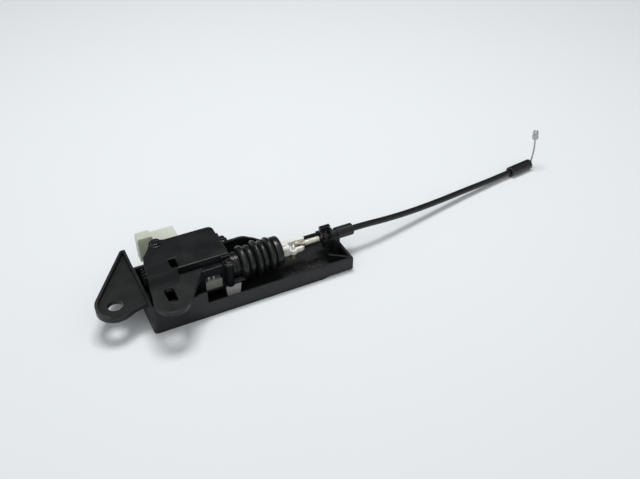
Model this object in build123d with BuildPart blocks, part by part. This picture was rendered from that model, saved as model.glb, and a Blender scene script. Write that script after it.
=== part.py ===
from build123d import *

import os
from collections import namedtuple
from math import acos, atan2, cos, degrees, hypot, pi, radians, sin, sqrt, tan

os.makedirs("parts", exist_ok=True)

# Frame: X along the rod and cable, Y to the back, Z up. The origin lies on the tray's underside,
# at the middle of the tray's length, straight below the rod and cable axis.

# Tray
tray_length = 157.0
tray_width = 48.0
tray_wall = 2.0
tray_floor = 2.0
corner_radius = 3.0
low_rim = 12.0
high_rim = 24.5
front_rim = 22.5
axis_from_front = 24.0
axis_z = 19.8
end_narrowing = 7.0
front_step = 40.5
back_drop_start = 83.0
back_drop_end = 112.0
heel_length = 26.0
heel_slope = 7.0
heel_rise = 1.4

left = -tray_length / 2
right = tray_length / 2
front = -axis_from_front
back = front + tray_width
end_back = back - end_narrowing
heel_start = right - heel_length
heel_end = heel_start + heel_slope

# Low ear, a triangular plate with one round hole
ear1_z = 18.4
ear1_thick = 3.6
ear1_hole = 11.0
ear1_end_radius = 13.6
ear1_hole_at = (left - 20.2, front + 17.0)
ear1_apex_y = back + 22.5
ear1_apex_left = left - 2.2
ear1_apex_right = left + 1.4
ear1_root_y = front + 9.2
rim_height = 3.0
rim_wall = 2.0
rim_low = 0.4
rim_low_y = front + 5.0

# High ear, a rounded plate with a slot, on the tower at the tray's corner
ear2_z = 29.5
ear2_thick = 3.5
ear2_end_at = (left + 14.0, front - 7.3)
ear2_end_radius = 12.3
slot_width = 7.0
slot_length = 16.5
slot_at = (left + 14.8, front - 2.3)
tower_length = 24.0
notch_width = 11.0
ear2_left_x = left + 4.7
ear2_back_y = front + 16.3
ear2_right_x = left + 44.5
gusset = 2.0

# Actuator housing
shell = 2.0
housing_left = left + 4.0
housing_right = left + 64.0
housing_front = front + 12.7
housing_back = back + 4.5
housing_low_back = back - tray_wall - 0.5
housing_bottom = 10.0
shoulder_z = high_rim + 0.7
lid_z = 35.5
lid_thick = 3.0
lid_front = ear2_back_y + 0.2
lid_corner = 4.0
ear_gap = 0.2
ledge_z = 32.0
shelf_thick = 2.0
recess_left = left + 43.8
recess_right = left + 56.8
recess_top = 25.0
plate_z = 14.0
plate_thick = 1.5
plate_start = left + 57.0
plate_end = left + 73.0
plate_front = front + 9.6
plate_back = front + 14.5
post_radius = 3.2
lug_radius = 3.9
lug_thick = 1.2
lug_wall = 1.2
lug_strip = 1.6

# White foot under the foot plate
foot_middle = (left + 63.9, front + 12.4)
foot_long = 11.8
foot_wide = 3.8
foot_taper = 1.1
foot_pinch = 0.7

# Screws: where each stands, and the height of its boss under the lug or lid
screw1 = (left + 20.3, housing_back - 3.5)
screw2 = (housing_right - 2.5, housing_front - 1.4)
screw3 = (housing_right + 3.3, housing_back - 12.5)
screw2_z = 32.5
screw3_z = 31.3
shank_radius = 1.6
shank_length = 8.0
flange_thick = 0.8
head_height = 1.8
head_slope = 12
cross_width = 0.9
cross_depth = 1.3
boss_radius = 3.6
fit_gap = 0.1

# Rod, rack and gears
rod_diameter = 5.5
rod_left = left + 28.0
rack_end = left + 61.5
pressure_angle = radians(30)
rack_module = 1.0
pinion_teeth = 10
train_module = 0.8
wheel_teeth = 36
motor_teeth = 8
backlash = 0.1
mesh_gap = 0.05
running_gap = 0.05
axle_radius = 1.5
wheel_z = 26.9
wheel_thick = 2.0
wheel_room = 0.4
pinion_z = 16.2
pinion_top = 23.3
wheel_x = left + 40.0
boss_z = wheel_z + wheel_thick + wheel_room
axle_top = lid_z - 2.3

# Motor
motor_diameter = 20.4
motor_flats = 15.2
motor_top = 24.9
motor_cap = 2.4
shaft_radius = 1.0
motor_offset = 4.5

# Bush and bellows
bush_radius = 4.5
bush_flange_radius = 8.8
bush_flange = 2.0
spigot_radius = 6.8
spigot_length = 5.5
bellows_wall = 1.4
bellows_end = left + 106.0
cuff_radius = 9.5

# Clevis, hook, crimp and wire
clevis_end = left + 128.5
short_arm_end = left + 125.5
clevis_neck = 4.0
hub_across = 10.0
hub_height = 9.0
hub_length = 6.8
fork_slot = 5.0
fork_height = 5.6
short_arm_height = 3.4
eye_radius = 3.0
web_thick = 2.0
hook_x = left + 116.2
hook_y = front + 20.4
hook_diameter = 2.6
hook_bottom = 11.5
hook_rise = 2.4
crimp_start = left + 127.0
crimp_end = left + 139.8
crimp_diameter = 4.6
wire_diameter = 1.5
wire_reach = left + 166.0

# Cable end fitting, its post and its clip
post_thick = 4.6
post_width = 15.0
post_right = right - 3.0
neck_diameter = 7.0
hub_diameter = 8.0
disc_diameter = 11.4
disc_thick = 2.2
sleeve_diameter = 9.5
sleeve_length = 14.4
clip_left = right - 16.8
clip_right = right - 8.3
clip_width = 14.4
clip_top = 27.0
clip_bottom = 15.0
clip_side_top = 21.5
clip_leg = 1.8
clip_side = 1.2
clip_lug = 9.0

# Casing and its far end
casing_diameter = 5.0
ferrule_diameter = 9.2
ferrule_length = 25.2
nipple_diameter = 5.5
nipple_length = 8.0

wheel_y = rod_diameter / 2 - 0.8 * rack_module + pinion_teeth * rack_module / 2 + mesh_gap
wheel_at = (wheel_x, wheel_y)
train_distance = (wheel_teeth + motor_teeth) * train_module / 2 + mesh_gap
motor_y = wheel_y + motor_offset
motor_x = wheel_x - sqrt(train_distance**2 - motor_offset**2)
sleeve_end = post_right + sleeve_length
rail_y = rod_diameter / 2 - 1.8 * rack_module
foot_base_long = foot_long - 2 * foot_taper
foot_base_wide = foot_wide - 2 * foot_pinch
Screw = namedtuple("Screw", "spot seat flange head")
screws = (
    Screw(screw1, lid_z + lid_thick, 5.0, 3.9),
    Screw(screw2, screw2_z + lug_thick, 3.7, 2.9),
    Screw(screw3, screw3_z + lug_thick, 3.0, 2.4),
)
AXIS_X = Plane(origin=(0, 0, axis_z), x_dir=(0, 1, 0), z_dir=(1, 0, 0))


def across_x(x):
    """A plane across the rod axis at x, its local x along Y and its local y along Z."""
    return AXIS_X.offset(x)


def involute(angle):
    return tan(angle) - angle


def gear_points(teeth, module, phase):
    """Outline of a spur gear about the origin, one tooth centred on the angle phase."""
    pitch = teeth * module / 2
    base = pitch * cos(pressure_angle)
    tip = pitch + 0.8 * module
    root = pitch - module
    start = max(base, root)
    radii = [start + (tip - start) * step / 3 for step in range(4)]
    share = pi / (2 * teeth) - backlash / (2 * pitch) + involute(pressure_angle)
    flank = [(radius, share - involute(acos(min(1.0, base / radius)))) for radius in radii]
    flank = [(root, flank[0][1])] + flank[(0 if base > root else 1) :]
    points = []
    for tooth in range(teeth):
        middle = phase + 2 * pi * tooth / teeth
        points += [(r * cos(middle - turn), r * sin(middle - turn)) for r, turn in flank]
        points += [(r * cos(middle + turn), r * sin(middle + turn)) for r, turn in flank[::-1]]
    return points


def tangent_angle(center, outer, radius, side):
    """Angle in degrees where the tangent from the point outer meets the circle about center."""
    across = outer[0] - center[0]
    up = outer[1] - center[1]
    return degrees(atan2(up, across) + side * acos(radius / hypot(across, up)))


def on_circle(center, radius, angle):
    return (center[0] + radius * cos(radians(angle)), center[1] + radius * sin(radians(angle)))


def edge_x(start, end, y):
    """The x of the line from start to end at the height y of the plan."""
    return start[0] + (end[0] - start[0]) * (y - start[1]) / (end[1] - start[1])


# Where the high ear's straight edges meet its round end
ear2_corner = (ear2_right_x, ear2_back_y)
ear2_left = tangent_angle(ear2_end_at, (ear2_left_x, ear2_back_y), ear2_end_radius, 1)
ear2_right = tangent_angle(ear2_end_at, ear2_corner, ear2_end_radius, -1) + 360
ear2_left_foot = on_circle(ear2_end_at, ear2_end_radius, ear2_left)
ear2_right_foot = on_circle(ear2_end_at, ear2_end_radius, ear2_right)


def tray_face(inset=0.0):
    """The tray's plan as a face, with its front left corner rounded, made smaller by inset."""
    slant = left + back_drop_end
    with BuildSketch(mode=Mode.PRIVATE) as plan:
        with BuildLine():
            Polyline(
                (left, front),
                (right, front),
                (right, end_back),
                (slant + 3, end_back),
                (slant - 17, back),
                (left, back),
                close=True,
            )
        make_face()
        fillet(plan.vertices().group_by(Axis.X)[0].sort_by(Axis.Y)[0], corner_radius)
        if inset:
            offset(amount=-inset, kind=Kind.INTERSECTION)
    return plan.sketch


def housing_face(front_y, back_y, inset=0.0):
    """The housing's plan: square to the right, with a rounded lobe to the left."""
    with BuildSketch(mode=Mode.PRIVATE) as plan:
        with BuildLine():
            Polyline(
                (housing_right, front_y),
                (housing_right, housing_back),
                (left + 27.0, housing_back),
                (left + 22.0, housing_back + 2.3),
                (left + 17.0, housing_back + 1.1),
                (left + 13.2, housing_back - 6.2),
                (left + 8.0, housing_back - 13.5),
                (left + 6.0, housing_back - 21.5),
                (housing_left, front_y),
                close=True,
            )
        make_face()
        fillet(plan.vertices().sort_by(Axis.Y)[2:].sort_by(Axis.X)[-1], lid_corner)
        if back_y < housing_back:
            with Locations((left, back_y)):
                Rectangle(tray_length, tray_width, align=Align.MIN, mode=Mode.SUBTRACT)
        if inset:
            offset(amount=-inset, kind=Kind.INTERSECTION)
    return plan.sketch


# Tray with its walls, ears, tower, post and ribs
with BuildPart() as tray_bracket:
    with BuildSketch():
        add(tray_face())
    extrude(amount=tray_floor)
    with BuildSketch():
        add(tray_face())
        add(tray_face(tray_wall), mode=Mode.SUBTRACT)
    extrude(amount=high_rim)
    drop = back_drop_end - back_drop_start
    with BuildSketch(Plane.XZ.offset(-back - 1)):
        with BuildLine():
            Spline(
                (left + back_drop_start, high_rim),
                (left + back_drop_start + 0.3 * drop, high_rim - 3.1),
                (left + back_drop_start + 0.68 * drop, low_rim + 3.6),
                (left + back_drop_end, low_rim),
                tangents=[(1, 0), (1, 0)],
            )
            Polyline(
                (left + back_drop_end, low_rim),
                (right + 1, low_rim),
                (right + 1, high_rim + 1),
                (left + back_drop_start, high_rim + 1),
                (left + back_drop_start, high_rim),
            )
        make_face()
    extrude(amount=tray_width / 2 + 1, mode=Mode.SUBTRACT)
    with BuildSketch(Plane.XY.offset(low_rim)):
        with Locations((left + front_step, front - 1)):
            Rectangle(tray_length, tray_width / 2 + 2, align=Align.MIN)
    extrude(amount=high_rim, mode=Mode.SUBTRACT)
    with BuildSketch(Plane.XY.offset(front_rim)):
        with Locations((left + tower_length, front - 1)):
            Rectangle(front_step - tower_length, tray_wall + 2, align=Align.MIN)
    extrude(amount=high_rim, mode=Mode.SUBTRACT)

    # Heel: the underside steps up towards the cable end, and the floor with it
    with BuildSketch(Plane.XZ.offset(-end_back + tray_wall / 2)):
        with BuildLine():
            Polyline(
                (heel_start, tray_floor / 2),
                (heel_start, tray_floor),
                (heel_end, tray_floor + heel_rise),
                (right - tray_wall / 2, tray_floor + heel_rise),
                (right - tray_wall / 2, tray_floor / 2),
                close=True,
            )
        make_face()
    extrude(amount=end_back - front - tray_wall)
    with BuildSketch(Plane.XZ.offset(-back)):
        with BuildLine():
            Polyline(
                (heel_start, 0),
                (heel_end, heel_rise),
                (right + 1, heel_rise),
                (right + 1, -1),
                (heel_start, -1),
                close=True,
            )
        make_face()
    extrude(amount=tray_width + 1, mode=Mode.SUBTRACT)

    # Tower: the front wall and a slanted web rise to the high ear
    web_x = edge_x(ear2_left_foot, (ear2_left_x, ear2_back_y), front)
    web_back_x = edge_x(ear2_left_foot, (ear2_left_x, ear2_back_y), housing_front - fit_gap)
    with BuildSketch(Plane.XY.offset(tray_floor)):
        with Locations((web_x, front)):
            Rectangle(left + tower_length - web_x, tray_wall, align=Align.MIN)
        with BuildLine():
            Polyline(
                (web_x, front),
                (web_back_x, housing_front - fit_gap),
                (web_back_x + tray_wall, housing_front - fit_gap),
                (web_x + tray_wall, front),
                close=True,
            )
        make_face()
    extrude(amount=ear2_z - tray_floor)
    # Room under the slot for a bolt's washer
    with BuildSketch(Plane.XY.offset(high_rim)):
        with Locations((slot_at[0], front + tray_wall / 2)):
            Rectangle(notch_width, 2 * tray_wall)
    extrude(amount=ear2_z - high_rim, mode=Mode.SUBTRACT)
    with BuildSketch(Plane.XY.offset(ear2_z)):
        with BuildLine():
            CenterArc(ear2_end_at, ear2_end_radius, ear2_left, ear2_right - ear2_left)
            Polyline(ear2_right_foot, ear2_corner, (ear2_left_x, ear2_back_y), ear2_left_foot)
        make_face()
        with Locations(slot_at):
            SlotOverall(slot_length, slot_width, rotation=90, mode=Mode.SUBTRACT)
    extrude(amount=ear2_thick)
    # Gusset under the high ear's slanted edge
    gusset_end = ear2_right_x - 8.0
    with BuildSketch(Plane.XY.offset(front_rim)):
        with BuildLine():
            Polyline(
                (ear2_right_foot[0] - gusset, front),
                (ear2_right_foot[0], front),
                (gusset_end, housing_front - fit_gap),
                (gusset_end - gusset, housing_front - fit_gap),
                (ear2_right_foot[0] - gusset, front + tray_wall),
                close=True,
            )
        make_face()
    extrude(amount=ear2_z - front_rim)

    # Low ear
    apex = (ear1_apex_left, ear1_apex_y)
    ear1_start = tangent_angle(ear1_hole_at, apex, ear1_end_radius, 1)
    ear1_stop = 305.0
    with BuildSketch(Plane.XY.offset(ear1_z)):
        with BuildLine():
            round_end = CenterArc(ear1_hole_at, ear1_end_radius, ear1_start, ear1_stop - ear1_start)
            Spline(round_end @ 1, (left, ear1_root_y), tangents=[round_end % 1, (1, 0)])
            Polyline(
                (left, ear1_root_y),
                (ear1_apex_right, ear1_root_y),
                (ear1_apex_right, ear1_apex_y),
                apex,
                round_end @ 0,
            )
        make_face()
        with Locations(ear1_hole_at):
            Circle(ear1_hole / 2, mode=Mode.SUBTRACT)
    extrude(amount=ear1_thick)
    # Its rims: along both long edges, and round the end, where it runs out to nothing
    rim_foot = on_circle(ear1_hole_at, ear1_end_radius, ear1_start)
    rim_inner = on_circle(ear1_hole_at, ear1_end_radius - rim_wall, ear1_start)
    apex_inner = (apex[0] + rim_inner[0] - rim_foot[0], apex[1] + rim_inner[1] - rim_foot[1])
    with BuildSketch(Plane.XY.offset(ear1_z + ear1_thick)):
        with BuildLine():
            Polyline(
                rim_foot,
                rim_inner,
                apex_inner,
                (ear1_apex_right, apex_inner[1]),
                (ear1_apex_right, apex[1]),
                apex,
                close=True,
            )
        make_face()
        with Locations((ear1_apex_right, back - 1)):
            Rectangle(rim_wall, ear1_apex_y - back + 1, align=(Align.MAX, Align.MIN))
    extrude(amount=rim_height)
    with BuildSketch(Plane.XY.offset(ear1_z + ear1_thick)):
        with Locations(ear1_hole_at):
            Circle(ear1_end_radius)
            Circle(ear1_end_radius - rim_wall, mode=Mode.SUBTRACT)
        with Locations((left - tray_width, rim_low_y)):
            Rectangle(
                tray_width - ear1_end_radius / 2,
                rim_foot[1] - rim_low_y,
                align=Align.MIN,
                mode=Mode.INTERSECT,
            )
    extrude(amount=rim_height)
    with BuildSketch(Plane.YZ.offset(left - tray_width)):
        with BuildLine():
            Polyline(
                (rim_foot[1], ear1_z + ear1_thick + rim_height),
                (rim_low_y - 1, ear1_z + ear1_thick + rim_low),
                (rim_low_y - 1, ear1_z + ear1_thick + 2 * rim_height),
                (rim_foot[1], ear1_z + ear1_thick + 2 * rim_height),
                close=True,
            )
        make_face()
    extrude(amount=tray_width - ear1_end_radius / 2, mode=Mode.SUBTRACT)

    # Post with its saddle for the cable's neck, and the slanted rib beside it
    rib_start = right - 15.0
    rib_back = 12.7
    with BuildSketch(Plane.XY.offset(tray_floor)):
        with Locations((post_right, 0)):
            Rectangle(post_thick, post_width, align=(Align.MAX, Align.CENTER))
    extrude(amount=axis_z - tray_floor + 0.6)
    with BuildSketch(across_x(post_right + 1)):
        Circle(neck_diameter / 2 + fit_gap)
        Rectangle(neck_diameter + 2 * fit_gap, axis_z, align=(Align.CENTER, Align.MIN))
    extrude(amount=-post_thick - 2, mode=Mode.SUBTRACT)
    with BuildSketch(Plane.XY.offset(tray_floor)):
        with BuildLine():
            Polyline(
                (rib_start, front + rib_back),
                (rib_start + 1.0, front + rib_back + 1.3),
                (right - tray_wall / 2, front + tray_wall + 2.2),
                (right - tray_wall / 2, front + tray_wall + 0.2),
                close=True,
            )
        make_face()
    extrude(amount=low_rim - 1.0 - tray_floor)

    # Ribs that carry the housing, and the socket ring of the support foot
    with BuildSketch(Plane.XY.offset(tray_floor)):
        for rib_x in (left + 14.0, left + 40.0):
            with Locations((rib_x, (housing_front + housing_low_back) / 2)):
                Rectangle(2.0, housing_low_back - housing_front - 3.0)
    extrude(amount=housing_bottom - tray_floor)
    with BuildSketch(Plane.XY.offset(tray_floor)):
        with Locations(foot_middle):
            Rectangle(foot_base_long + 3.0, foot_base_wide + 3.0)
            Rectangle(foot_base_long + 0.5, foot_base_wide + 0.5, mode=Mode.SUBTRACT)
    extrude(amount=1.4)
    chamfer(tray_bracket.faces().filter_by(Axis.Z).sort_by(Axis.Z)[-1].outer_wire().edges(), 0.5)
tray_bracket.part.label = "tray_bracket"
export_step(tray_bracket.part, "parts/tray_bracket.step")

# Lower housing, open at the top, with a step at its shoulder above the tray's wall
with BuildPart() as actuator_base:
    with BuildSketch(Plane.XY.offset(housing_bottom)):
        add(housing_face(housing_front, housing_low_back))
    extrude(amount=shoulder_z - housing_bottom)
    with BuildSketch(Plane.XY.offset(shoulder_z)):
        add(housing_face(housing_front, housing_back))
    extrude(amount=lid_z - shoulder_z)
    with BuildSketch(Plane.XY.offset(housing_bottom + shell)):
        add(housing_face(housing_front, housing_low_back, shell))
    extrude(amount=lid_z, mode=Mode.SUBTRACT)
    with BuildSketch(Plane.XY.offset(shoulder_z + shell)):
        add(housing_face(housing_front, housing_back, shell))
    extrude(amount=lid_z, mode=Mode.SUBTRACT)
    # Room for the gear's rim in the shoulder
    with BuildSketch(Plane.XY.offset(wheel_z - wheel_room)):
        with Locations(wheel_at):
            Circle(wheel_teeth * train_module / 2 + train_module + wheel_room)
    extrude(amount=wheel_thick + 2 * wheel_room, mode=Mode.SUBTRACT)
    # Wall above the high ear, and the shelf to the right of the ear's slanted edge
    with BuildSketch(Plane.XY.offset(ear2_z)):
        with Locations((housing_left + shell / 2, lid_front)):
            Rectangle(housing_right - housing_left - shell, shell, align=Align.MIN)
    extrude(amount=lid_z - ear2_z)
    with BuildSketch(Plane.XY.offset(ledge_z - shelf_thick)):
        with BuildLine():
            Polyline(
                (edge_x(ear2_right_foot, ear2_corner, housing_front) + ear_gap, housing_front),
                (ear2_right_x + ear_gap, ear2_back_y),
                (ear2_right_x + ear_gap, lid_front + shell / 2),
                (housing_right - shell / 2, lid_front + shell / 2),
                (housing_right - shell / 2, housing_front),
                close=True,
            )
        make_face()
    extrude(amount=shelf_thick)
    # Room for the high ear, whose plate lies over the front wall
    with BuildSketch(Plane.XY.offset(ear2_z - ear_gap)):
        with BuildLine():
            Polyline(
                (housing_left - 1, housing_front - 1),
                (edge_x(ear2_right_foot, ear2_corner, housing_front - 1) + ear_gap, housing_front - 1),
                (ear2_right_x + ear_gap, ear2_back_y),
                (ear2_right_x + ear_gap, lid_front),
                (housing_left - 1, lid_front),
                close=True,
            )
        make_face()
    extrude(amount=lid_z, mode=Mode.SUBTRACT)
    with BuildSketch(Plane.XY.offset(ledge_z)):
        with Locations((housing_left - 1, housing_front - 1)):
            Rectangle(tray_length, lid_front - housing_front + 1, align=Align.MIN)
    extrude(amount=lid_z, mode=Mode.SUBTRACT)
    # Recess in the front wall that shows the contact carrier
    with BuildSketch(Plane.XZ.offset(-housing_front + 1)):
        with Locations((recess_left, housing_bottom + shell)):
            Rectangle(recess_right - recess_left, recess_top - housing_bottom - shell, align=Align.MIN)
    extrude(amount=-shell - 1.5, mode=Mode.SUBTRACT)
    # Corner post with its foot plate, and the bosses of the other two screws
    with BuildSketch(Plane.XY.offset(plate_z)):
        with Locations(screw2):
            Circle(post_radius)
    extrude(amount=screw2_z - plate_z)
    with BuildSketch(Plane.XY.offset(plate_z)):
        with Locations((plate_start, plate_front)):
            Rectangle(plate_end - plate_start, plate_back - plate_front, align=Align.MIN)
    extrude(amount=plate_thick)
    with BuildSketch(Plane.XY.offset(shoulder_z)):
        with Locations(screw1):
            Circle(boss_radius)
        with Locations(screw3):
            Circle(lug_radius)
        with Locations((housing_right - 1, screw3[1])):
            Rectangle(screw3[0] - housing_right + 1, 2 * lug_radius, align=(Align.MIN, Align.CENTER))
    extrude(amount=screw3_z - shoulder_z)
    with BuildSketch(Plane.XY.offset(screw3_z)):
        with Locations(screw1):
            Circle(boss_radius)
    extrude(amount=lid_z - screw3_z)
    for spot, mouth_z in ((screw1, lid_z), (screw2, screw2_z), (screw3, screw3_z)):
        with BuildSketch(Plane.XY.offset(mouth_z)):
            with Locations(spot):
                Circle(shank_radius + fit_gap)
        extrude(amount=-shank_length, mode=Mode.SUBTRACT)
    # Corner block with a notch that leaves room for the support foot
    with BuildSketch(Plane.XY.offset(housing_bottom)):
        with Locations((housing_right, housing_front + shell)):
            Rectangle(shell, shell, align=(Align.MAX, Align.MIN))
    extrude(amount=plate_z + plate_thick - housing_bottom)
    with BuildSketch(Plane.XY.offset(housing_bottom)):
        with Locations(foot_middle):
            Rectangle(foot_long + 4 * fit_gap, foot_wide + 4 * fit_gap)
    extrude(amount=plate_z - housing_bottom, mode=Mode.SUBTRACT)
    # Hole for the rod's bush
    with BuildSketch(across_x(housing_right + 1)):
        Circle(bush_radius + running_gap)
    extrude(amount=-shell - 2, mode=Mode.SUBTRACT)
    # Saddle that guides the rod, and the boss that holds the gear's axle
    guide_x = rod_left + 2.0
    with BuildSketch(Plane.XY.offset(housing_bottom + shell)):
        with Locations((guide_x, 0)):
            Rectangle(3.0, rod_diameter, align=(Align.MIN, Align.CENTER))
    extrude(amount=axis_z - rod_diameter / 2 - fit_gap - housing_bottom - shell)
    with BuildSketch(Plane.XY.offset(housing_bottom + shell)):
        with Locations((guide_x, -rod_diameter / 2 - fit_gap)):
            Rectangle(3.0, 1.5, align=(Align.MIN, Align.MAX))
    extrude(amount=axis_z - housing_bottom - shell + 1.5)
    with BuildSketch(Plane.XY.offset(housing_bottom + shell)):
        with Locations(wheel_at):
            Circle(2 * axle_radius)
    extrude(amount=pinion_z - 0.2 - housing_bottom - shell)
    with BuildSketch(Plane.XY.offset(housing_bottom + 1)):
        with Locations(wheel_at):
            Circle(axle_radius)
    extrude(amount=pinion_z - housing_bottom, mode=Mode.SUBTRACT)
actuator_base.part.label = "actuator_base"
export_step(actuator_base.part, "parts/actuator_base.step")

# Lid of the housing, with a sight hole, two screw lugs and the boss that steadies the axle
window = (left + 22.3, front + 17.2, 5.4, 11.2)
with BuildPart() as actuator_cover:
    with BuildSketch(Plane.XY.offset(lid_z)):
        add(housing_face(lid_front, housing_back))
    extrude(amount=lid_thick)
    fillet(actuator_cover.faces().sort_by(Axis.Z)[-1].outer_wire().edges(), 0.7)
    # Lug in front, on a riser that stands off the base by a gap
    riser_y = lid_front - fit_gap
    with BuildSketch(Plane.XY.offset(screw2_z)):
        with Locations(screw2):
            Circle(lug_radius)
        with Locations((screw2[0], riser_y)):
            Rectangle(2 * lug_radius, riser_y - screw2[1], align=(Align.CENTER, Align.MAX))
        with Locations((housing_right, screw2[1])):
            Rectangle(lug_radius, tray_width, align=(Align.MIN, Align.CENTER), mode=Mode.SUBTRACT)
    extrude(amount=lug_thick)
    with BuildSketch(Plane.XY.offset(screw2_z)):
        with Locations((screw2[0] - lug_radius, riser_y)):
            Rectangle(housing_right - screw2[0] + lug_radius, lug_wall, align=(Align.MIN, Align.MAX))
    extrude(amount=lid_z + lug_strip - screw2_z)
    with BuildSketch(Plane.XY.offset(lid_z)):
        with Locations((screw2[0] - lug_radius, riser_y - lug_wall)):
            Rectangle(housing_right - screw2[0] + lug_radius, lug_wall + 1, align=Align.MIN)
    extrude(amount=lug_strip)
    # Lug at the right, on a riser with a hollow for the screw's flange
    riser_x = housing_right + fit_gap
    with BuildSketch(Plane.XY.offset(screw3_z)):
        with Locations(screw3):
            Circle(lug_radius)
        with Locations((riser_x, screw3[1])):
            Rectangle(screw3[0] - riser_x, 2 * lug_radius, align=(Align.MIN, Align.CENTER))
        with Locations((riser_x, screw3[1])):
            Rectangle(lug_radius, tray_width, align=(Align.MAX, Align.CENTER), mode=Mode.SUBTRACT)
    extrude(amount=lug_thick)
    with BuildSketch(Plane.XY.offset(screw3_z)):
        with Locations((riser_x, screw3[1])):
            Rectangle(lug_wall, 2 * lug_radius, align=(Align.MIN, Align.CENTER))
    extrude(amount=lid_z + lug_strip - screw3_z)
    with BuildSketch(Plane.XY.offset(lid_z)):
        with Locations((riser_x + lug_wall, screw3[1])):
            Rectangle(lug_wall + 1, 2 * lug_radius, align=(Align.MAX, Align.CENTER))
    extrude(amount=lug_strip)
    with BuildSketch(Plane.XY.offset(screw3_z + lug_thick)):
        with Locations(screw3):
            Circle(screws[2].flange + fit_gap)
    extrude(amount=lid_z - screw3_z, mode=Mode.SUBTRACT)
    with BuildSketch(Plane.XY.offset(lid_z)):
        with Locations(wheel_at):
            Circle(2 * axle_radius)
    extrude(amount=boss_z - lid_z)
    with BuildSketch(Plane.XY.offset(boss_z)):
        with Locations(wheel_at):
            Circle(axle_radius + running_gap)
    extrude(amount=axle_top + 0.3 - boss_z, mode=Mode.SUBTRACT)
    with BuildSketch(Plane.XY.offset(lid_z + lid_thick)):
        with Locations(window[:2]):
            Rectangle(window[2], window[3], align=Align.MIN)
    extrude(amount=-lid_thick, mode=Mode.SUBTRACT)
    with BuildSketch(Plane.XY.offset(lid_z + lid_thick)):
        with Locations(screw1, screw2, screw3):
            Circle(shank_radius + fit_gap)
    extrude(amount=screw3_z - lid_z - lid_thick, mode=Mode.SUBTRACT)
actuator_cover.part.label = "actuator_cover"
export_step(actuator_cover.part, "parts/actuator_cover.step")

# Three flanged screws with a cross recess
with BuildPart() as cover_screws:
    for screw in screws:
        with BuildSketch(Plane.XY.offset(screw.seat)):
            with Locations(screw.spot):
                Circle(screw.flange)
        extrude(amount=flange_thick)
        with BuildSketch(Plane.XY.offset(screw.seat + flange_thick)):
            with Locations(screw.spot):
                Circle(screw.head)
        extrude(amount=head_height, taper=head_slope)
        with BuildSketch(Plane.XY.offset(screw.seat)):
            with Locations(screw.spot):
                Circle(shank_radius)
        extrude(amount=-shank_length)
        with BuildSketch(Plane.XY.offset(screw.seat + flange_thick + head_height)):
            with Locations(screw.spot):
                Rectangle(1.2 * screw.head, cross_width, rotation=20)
                Rectangle(1.2 * screw.head, cross_width, rotation=110)
        extrude(amount=-cross_depth, mode=Mode.SUBTRACT)
cover_screws.part.label = "cover_screws"
export_step(cover_screws.part, "parts/cover_screws.step")

# Plug socket at the back: a hooded block with a smaller keyed block beside it
socket_z = 15.0
socket_height = 21.0
socket_wall = 1.6
socket_front = housing_back + 2.7
socket_back = housing_back + 16.2
socket_left = left + 21.2
socket_width = 17.6
pin_floor = socket_back - 10.7
key_left = left + 10.5
key_width = socket_left - key_left
key_front = socket_back - 5.5
key_back = socket_back + 2.8
neck_left = left + 28.0
with BuildPart() as connector_shell:
    with BuildSketch(Plane.XZ.offset(-socket_front)):
        with Locations((socket_left, socket_z)):
            Rectangle(socket_width, socket_height, align=Align.MIN)
    extrude(amount=socket_front - socket_back)
    with BuildSketch(Plane.XZ.offset(-key_front)):
        with Locations((key_left, socket_z)):
            Rectangle(key_width, socket_height, align=Align.MIN)
    extrude(amount=key_front - key_back)
    with BuildSketch(Plane.XZ.offset(-housing_back)):
        with Locations((neck_left, shoulder_z + 0.6)):
            Rectangle(10.3, lid_z - shoulder_z - 1.2, align=Align.MIN)
    extrude(amount=housing_back - socket_front)
    with BuildSketch(Plane.XZ.offset(-pin_floor)):
        with Locations((socket_left + socket_wall, socket_z + socket_wall)):
            Rectangle(socket_width - 2 * socket_wall, socket_height - 2 * socket_wall, align=Align.MIN)
    extrude(amount=pin_floor - socket_back - 1, mode=Mode.SUBTRACT)
    with BuildSketch(Plane.XZ.offset(-key_front - socket_wall)):
        with Locations((key_left + socket_wall, socket_z + socket_wall)):
            Rectangle(key_width - 2 * socket_wall, socket_height - 2 * socket_wall, align=Align.MIN)
    extrude(amount=key_front - key_back, mode=Mode.SUBTRACT)
connector_shell.part.label = "connector_shell"
export_step(connector_shell.part, "parts/connector_shell.step")

pin_middle = (socket_left + socket_width / 2, socket_z + socket_height / 2)
with BuildPart() as connector_pins:
    with BuildSketch(Plane.XZ.offset(-pin_floor)):
        with Locations(pin_middle):
            with GridLocations(6.0, 5.0, 2, 2):
                Rectangle(2.2, 0.8)
    extrude(amount=-7.5)
connector_pins.part.label = "connector_pins"
export_step(connector_pins.part, "parts/connector_pins.step")

# Tapered white foot between the foot plate and the tray's socket ring
with BuildPart() as support_foot:
    with BuildSketch(Plane.XY.offset(tray_floor)):
        with Locations(foot_middle):
            Rectangle(foot_base_long, foot_base_wide)
    with BuildSketch(Plane.XY.offset(plate_z)):
        with Locations(foot_middle):
            Rectangle(foot_long, foot_wide)
    loft()
support_foot.part.label = "support_foot"
export_step(support_foot.part, "parts/support_foot.step")

# Contact carrier behind the recess, with two upright blades
carrier_top = 19.5
carrier_depth = 6.3
blade_y = housing_front + 2.2
with BuildPart() as contact_carrier:
    with BuildSketch(Plane.XY.offset(housing_bottom + shell)):
        with Locations((recess_left + 0.2, housing_front + 1.3)):
            Rectangle(recess_right - recess_left - 0.4, carrier_depth, align=Align.MIN)
    extrude(amount=carrier_top - housing_bottom - shell)
contact_carrier.part.label = "contact_carrier"
export_step(contact_carrier.part, "parts/contact_carrier.step")

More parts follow.
